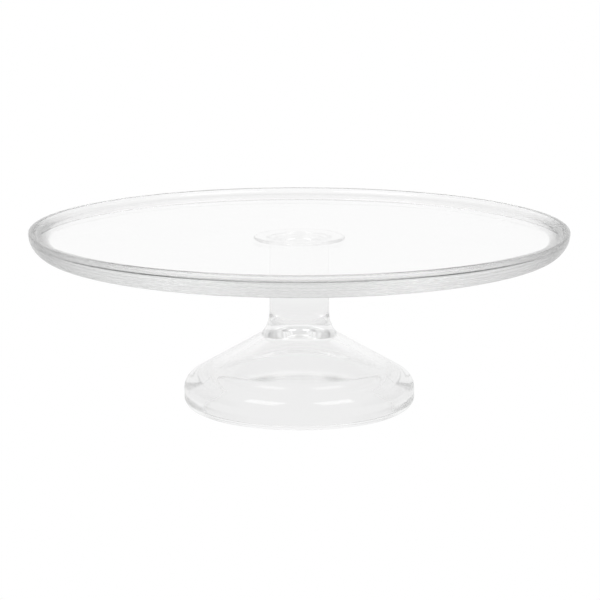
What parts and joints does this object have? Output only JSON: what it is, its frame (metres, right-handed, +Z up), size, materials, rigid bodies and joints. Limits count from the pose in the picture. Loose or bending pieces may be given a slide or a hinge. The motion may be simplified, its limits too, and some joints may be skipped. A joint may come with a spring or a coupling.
{
  "type": "cake stand",
  "caption": "Footed cake stand in clear pressed glass: round plate with a low raised rim on a solid stem and a hollow conical foot.",
  "frame": {"origin": "on the table, under the centre of the foot", "axes": "+Z up along the stem, which is the axis of revolution of every piece"},
  "size_m": [0.33, 0.33, 0.1117],
  "materials": {
    "clear_glass": "fire-polished, clear and colourless",
    "clear_adhesive": "clear, cured film"
  },
  "bodies": {
    "root": {"plate": "clear_glass", "bond_ring": "clear_adhesive", "pedestal": "clear_glass"}
  },
  "joints": []
}
